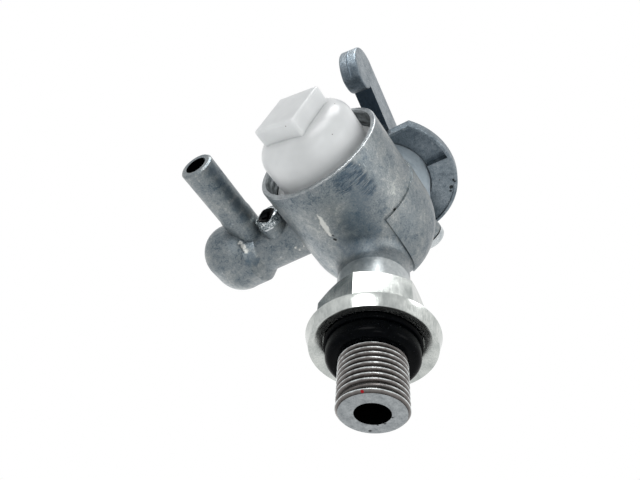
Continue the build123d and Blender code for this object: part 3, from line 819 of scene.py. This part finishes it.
for face in bm.faces:
    face.material_index = list(body_finishes).index(finish_of(face))
casting = finish_piece(bm, "body_casting", "body", "housing", list(body_finishes.values()))
print("body faces", len(casting.data.polygons), "in", len(casting.data.materials), "finishes")

# %% [markdown]
# ## Sediment cup
# The cup screws into the bowl, so its threaded wall moves to the root in the same way. Its soft moulded
# edges are shaded smooth up to a wider angle than those of metal.

# %% Sediment cup
CUP_WALL = 11.9
CUP_ROOT = 11.62
CUP_SHARP_DEGREES = 40.0
bm = welded("sediment_cup")
for vertex in bm.verts:
    x, y, z = local_mm(vertex.co)
    from_bowl = math.hypot(x, y)
    if abs(from_bowl - CUP_WALL) < NEAR_WALL:
        vertex.co.x *= CUP_ROOT / from_bowl
        vertex.co.y = (y * CUP_ROOT / from_bowl + BOWL_Y) * MM
cup = finish_piece(bm, "cup_moulding", "sediment_cup", "cup", [milky_plastic],
                   CUP_SHARP_DEGREES)
print("cup faces", len(cup.data.polygons))

# %% [markdown]
# ## The torn screw on the arm
# In the photograph the head of this screw is torn open: a hole with a jagged bright rim, and the faces in the
# hole get the near-black finish as painted shade. Modelling each shred would take long for a piece of 6 mm,
# so the middle of the copy's head sinks, and the points around it move by random amounts with a fixed seed.
# The head looks down, so its top has the lowest z.

# %% Passage screw
SCREW_X = -18.4
HEAD_BASE = -13.4
LONG_EDGE_MM = 0.9
TORN_HEIGHT = 1.7
HOLE_R = 1.75
HOLE_DEPTH = 1.3
DISH_R = 3.0
HEAD_EDGE_R = 2.9
EDGE_SHARE = 0.4
SHADE_R = 2.2
SHADE_HEIGHT = 2.2
RING = 9
TORN_SHARP_DEGREES = 15.0
bm = welded("passage_screw")
long_edges = [e for e in bm.edges
              if e.calc_length() > LONG_EDGE_MM * MM and max(v.co.z for v in e.verts) < HEAD_BASE * MM]
bmesh.ops.subdivide_edges(bm, edges=long_edges, cuts=2, use_grid_fill=False)
bmesh.ops.triangulate(bm, faces=bm.faces)
head_top = min(v.co.z for v in bm.verts) / MM
chance = random.Random(11)
lifts = [chance.uniform(-0.3, 1.3) for _ in range(RING)]
pulls = [chance.uniform(-0.5, 0.2) for _ in range(RING)]


def around(values, angle):
    """Reads a ring of values at an angle, with straight lines between them."""
    spot = angle / math.tau * len(values)
    low = math.floor(spot)
    return values[low % len(values)] * (1 - spot + low) + values[(low + 1) % len(values)] * (spot - low)


for vertex in bm.verts:
    x, y, z = local_mm(vertex.co)
    away = math.hypot(x - SCREW_X, y)
    angle = math.atan2(y, x - SCREW_X) % math.tau
    if z > head_top + TORN_HEIGHT:
        continue
    if away < HOLE_R:
        vertex.co.z += HOLE_DEPTH * MM * (1 - (away / DISH_R) ** 2)
    else:
        vertex.co.z += around(lifts, angle) * MM * (EDGE_SHARE if away > HEAD_EDGE_R else 1.0)
        pull = around(pulls, angle) * MM
        vertex.co.x += pull * math.cos(angle)
        vertex.co.y += pull * math.sin(angle)
# Faces in the hole get painted shade.
for face in bm.faces:
    x, y, z = local_mm(face.calc_center_median())
    hole_in_shade = z < head_top + SHADE_HEIGHT and math.hypot(x - SCREW_X, y) < SHADE_R
    face.material_index = 1 if hole_in_shade else 0
screw = finish_piece(bm, "torn_passage_screw", "passage_screw", "housing",
                     [torn_steel, bore_shade], TORN_SHARP_DEGREES)
print("screw faces", len(screw.data.polygons))

# %% [markdown]
# ## Threads by Geometry Nodes
# A thread is one profile that runs round a helix, so it follows a rule. The tree bends a flat grid: its
# long side goes round the axis, its short side spans exactly one pitch, and the neighbouring turns meet.
# The crest sinks into the root at both ends. A crest smaller than the root gives an inside thread.

# %% Start and end of a tree
def new_tree(name, defaults):
    """An empty tree with a named input for each default, and its inputs. Whole numbers are counts."""
    tree = bpy.data.node_groups.new(name, "GeometryNodeTree")
    tree.interface.new_socket("Geometry", in_out="OUTPUT", socket_type="NodeSocketGeometry")
    for label, value in defaults.items():
        kind = "NodeSocketInt" if isinstance(value, int) else "NodeSocketFloat"
        socket = tree.interface.new_socket(label, in_out="INPUT", socket_type=kind)
        socket.default_value = value
    tree.interface.new_socket("Material", in_out="INPUT", socket_type="NodeSocketMaterial")
    return tree, tree.nodes.new("NodeGroupInput").outputs


def end_tree(tree, shape, material):
    """Makes the result real and gives it its material."""
    real = add(tree, "GeometryNodeRealizeInstances", shape)
    painted = add(tree, "GeometryNodeSetMaterial", real, in_Material=material)
    add(tree, "NodeGroupOutput", painted)


def grown(tree, name, place, **values):
    """Runs a tree on an empty object and keeps the result as a plain mesh, moved by the matrix."""
    maker = bpy.data.objects.new(name + "_maker", bpy.data.meshes.new(name))
    scene.collection.objects.link(maker)
    modifier = maker.modifiers.new("make", "NODES")
    modifier.node_group = tree
    for item in tree.interface.items_tree:
        key = item.name.replace(" ", "_").lower()
        if item.in_out == "INPUT" and key in values:
            modifier[item.identifier] = values[key]
    bpy.context.view_layer.update()
    ready = maker.evaluated_get(bpy.context.evaluated_depsgraph_get())
    mesh = bpy.data.meshes.new_from_object(ready)
    bpy.data.objects.remove(maker)
    mesh.transform(place)
    piece = bpy.data.objects.new(name, mesh)
    scene.collection.objects.link(piece)
    return piece


to_inlet = Matrix.Translation(at(0, 0, 0)) @ Matrix.Rotation(-math.pi / 2, 4, "X")
to_bowl = Matrix.Translation(at(0, 0, 0))
print("a grown piece lands at", [round(c, 4) for c in to_bowl.translation])

# %% [markdown]
# ## The thread's rule
# Along the grid the angle grows, and with it the height. Across the grid a flank rises from the root to the
# crest and falls again. Its height is cut off at 1, which makes the crest flat, and it fades at both ends.

# %% Thread tree
FLANK_REACH = 0.44  # half a pitch, less a narrow flat at the root
PROFILE_POINTS = 9


def thread_tree():
    """The tree that bends a grid into a thread."""
    tree, given = new_tree("thread", {
        "Turns": 10.0, "Pitch": MM, "Root Radius": 5.4 * MM, "Crest Radius": 6.0 * MM, "Crest Width": 0.18,
        "Start": 0.0, "Fade Turns": 1.0, "Steps": 400})
    grid = add(tree, "GeometryNodeMeshGrid", in_Size_X=1.0, in_Size_Y=1.0, in_Vertices_X=given["Steps"],
               in_Vertices_Y=PROFILE_POINTS)
    parts = add(tree, "ShaderNodeSeparateXYZ", add(tree, "GeometryNodeInputPosition")).outputs
    along = add(tree, "ShaderNodeMath", parts["X"], 0.5, operation="ADD")
    across = add(tree, "ShaderNodeMath", parts["Y"], 0.5, operation="ADD")
    turned = add(tree, "ShaderNodeMath", along, given["Turns"], operation="MULTIPLY")
    angle = add(tree, "ShaderNodeMath", turned, math.tau, operation="MULTIPLY")
    from_crest = add(tree, "ShaderNodeMath", parts["Y"], operation="ABSOLUTE")
    flank = add(tree, "ShaderNodeMath", FLANK_REACH, from_crest, operation="SUBTRACT")
    half_crest = add(tree, "ShaderNodeMath", given["Crest Width"], 0.5, operation="MULTIPLY")
    span = add(tree, "ShaderNodeMath", FLANK_REACH, half_crest, operation="SUBTRACT")
    height = add(tree, "ShaderNodeMath", flank, span, operation="DIVIDE", use_clamp=True)
    start_fade = add(tree, "ShaderNodeMath", turned, given["Fade Turns"], operation="DIVIDE", use_clamp=True)
    to_go = add(tree, "ShaderNodeMath", given["Turns"], turned, operation="SUBTRACT")
    end_fade = add(tree, "ShaderNodeMath", to_go, given["Fade Turns"], operation="DIVIDE", use_clamp=True)
    fade = add(tree, "ShaderNodeMath", start_fade, end_fade, operation="MULTIPLY")
    height = add(tree, "ShaderNodeMath", height, fade, operation="MULTIPLY")
    depth = add(tree, "ShaderNodeMath", given["Crest Radius"], given["Root Radius"], operation="SUBTRACT")
    radius = add(tree, "ShaderNodeMath", height, depth, given["Root Radius"], operation="MULTIPLY_ADD")
    pitches = add(tree, "ShaderNodeMath", turned, across, operation="ADD")
    lift = add(tree, "ShaderNodeMath", pitches, given["Pitch"], given["Start"], operation="MULTIPLY_ADD")
    sideways = add(tree, "ShaderNodeMath", angle, operation="COSINE")
    sideways = add(tree, "ShaderNodeMath", radius, sideways, operation="MULTIPLY")
    onwards = add(tree, "ShaderNodeMath", angle, operation="SINE")
    onwards = add(tree, "ShaderNodeMath", radius, onwards, operation="MULTIPLY")
    bent = add(tree, "ShaderNodeCombineXYZ", sideways, onwards, lift)
    placed = add(tree, "GeometryNodeSetPosition", grid, in_Position=bent)
    flat = add(tree, "GeometryNodeSetShadeSmooth", placed, in_Shade_Smooth=False)
    end_tree(tree, flat, given["Material"])
    return tree


thread = thread_tree()
print("thread nodes", len(thread.nodes))

# %% [markdown]
# ## Threads of the stub, the housing and the cup
# One tree makes all three. The stub has 21.5 fine turns of 1 mm, and the cup and its housing share a
# coarser pitch of 1.5 mm. The housing's is an inside thread, and each thread rides with what it is cut in.

# %% Three threads
STUB_PITCH = 1.0 * MM
BOWL_PITCH = 1.5 * MM
BOWL_CREST = 11.98
CUP_CREST = 11.92
FADE_TURNS = 0.4
FINE_STEPS = 60
COARSE_STEPS = 72
stub_thread = grown(
    thread, "inlet_thread", to_inlet, turns=21.5, pitch=STUB_PITCH, root_radius=(STUB_ROOT - 0.02) * MM,
    crest_radius=STUB_CREST * MM, crest_width=0.14, start=22.7 * MM, fade_turns=FADE_TURNS,
    steps=21 * FINE_STEPS,
    material=thread_shade_and_glint)
bowl_thread = grown(
    thread, "bowl_thread", to_bowl, turns=6.2, pitch=BOWL_PITCH, root_radius=(BOWL_ROOT - 0.01) * MM,
    crest_radius=BOWL_CREST * MM, crest_width=0.2, start=-22.8 * MM, fade_turns=FADE_TURNS,
    steps=7 * COARSE_STEPS,
    material=machined_zinc)
cup_thread = grown(
    thread, "cup_thread", to_bowl, turns=4.0, pitch=BOWL_PITCH, root_radius=(CUP_ROOT - 0.01) * MM,
    crest_radius=CUP_CREST * MM, crest_width=0.2, start=-19.6 * MM, fade_turns=FADE_TURNS,
    steps=4 * COARSE_STEPS,
    material=milky_plastic)
for piece, body, slot in ((stub_thread, "housing", "cast_zinc"), (bowl_thread, "housing", "cast_zinc"),
                          (cup_thread, "cup", "white_nylon")):
    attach(piece, body)
    print(piece.name, len(piece.data.polygons), "faces")

# %% [markdown]
# ## Burr on the rim
# Turning the rim left a thin burr that catches the light on the side of the camera. It is a tube of uneven
# thickness along an arc: a noise changes its thickness, its radius and its height along the way.

# %% Burr tree
UNEVEN_WAVES = 26.0
TUBE_SIDES = 6
THIN_BELOW = 0.32
THINNEST = 0.05
SWELL = 5.0


def burr_tree():
    """The tree that lays an uneven tube along an arc."""
    tree, given = new_tree("burr", {
        "Radius": 13.4 * MM, "Level": -23.2 * MM, "From Angle": 0.3, "To Angle": 1.4, "Thickness": 0.1 * MM,
        "Wander": 0.15 * MM, "Steps": 160, "Seed": 3})
    line = add(tree, "GeometryNodeMeshLine", in_Count=given["Steps"])
    number = add(tree, "GeometryNodeInputIndex")
    part = add(tree, "ShaderNodeMath", number, given["Steps"], operation="DIVIDE")
    span = add(tree, "ShaderNodeMath", given["To Angle"], given["From Angle"], operation="SUBTRACT")
    angle = add(tree, "ShaderNodeMath", span, part, given["From Angle"], operation="MULTIPLY_ADD")
    wave = add(tree, "ShaderNodeMath", part, UNEVEN_WAVES, operation="MULTIPLY")
    uneven = add(tree, "ShaderNodeTexNoise", given["Seed"], in_W=wave, noise_dimensions="4D", in_Scale=1.0,
                 in_Detail=2.0)
    swing = add(tree, "ShaderNodeMath", uneven, 0.5, operation="SUBTRACT")
    swing = add(tree, "ShaderNodeMath", swing, given["Wander"], operation="MULTIPLY")
    radius = add(tree, "ShaderNodeMath", given["Radius"], swing, operation="ADD")
    level = add(tree, "ShaderNodeMath", given["Level"], swing, operation="ADD")
    sideways = add(tree, "ShaderNodeMath", angle, operation="COSINE")
    sideways = add(tree, "ShaderNodeMath", radius, sideways, operation="MULTIPLY")
    onwards = add(tree, "ShaderNodeMath", angle, operation="SINE")
    onwards = add(tree, "ShaderNodeMath", radius, onwards, operation="MULTIPLY")
    bent = add(tree, "ShaderNodeCombineXYZ", sideways, onwards, level)
    placed = add(tree, "GeometryNodeSetPosition", line, in_Position=bent)
    curve = add(tree, "GeometryNodeMeshToCurve", placed)
    thick = add(tree, "ShaderNodeMath", uneven, THIN_BELOW, operation="SUBTRACT")
    thick = add(tree, "ShaderNodeMath", thick, THINNEST, operation="MAXIMUM")
    thick = add(tree, "ShaderNodeMath", thick, SWELL, operation="MULTIPLY")
    sized = add(tree, "GeometryNodeSetCurveRadius", curve, in_Radius=thick)
    circle = add(tree, "GeometryNodeCurvePrimitiveCircle", in_Resolution=TUBE_SIDES,
                 in_Radius=given["Thickness"])
    tube = add(tree, "GeometryNodeCurveToMesh", sized, in_Profile_Curve=circle, in_Fill_Caps=True)
    end_tree(tree, tube, given["Material"])
    return tree


burr = burr_tree()
rim_burr = grown(
    burr, "rim_burr", to_bowl, radius=13.32 * MM, level=-23.12 * MM, from_angle=math.radians(14),
    to_angle=math.radians(84), thickness=0.085 * MM, wander=0.45 * MM, steps=180, seed=5,
    material=screw_steel)
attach(rim_burr, "housing")
print("burr", len(rim_burr.data.polygons), "faces")

# %% Measure the dressed tap
dressed_box = [list(corner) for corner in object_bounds()]
grown_mm = [round((high - low) / MM, 1) for low, high in zip(*dressed_box)]
print("the dressed tap measures", grown_mm, "mm")
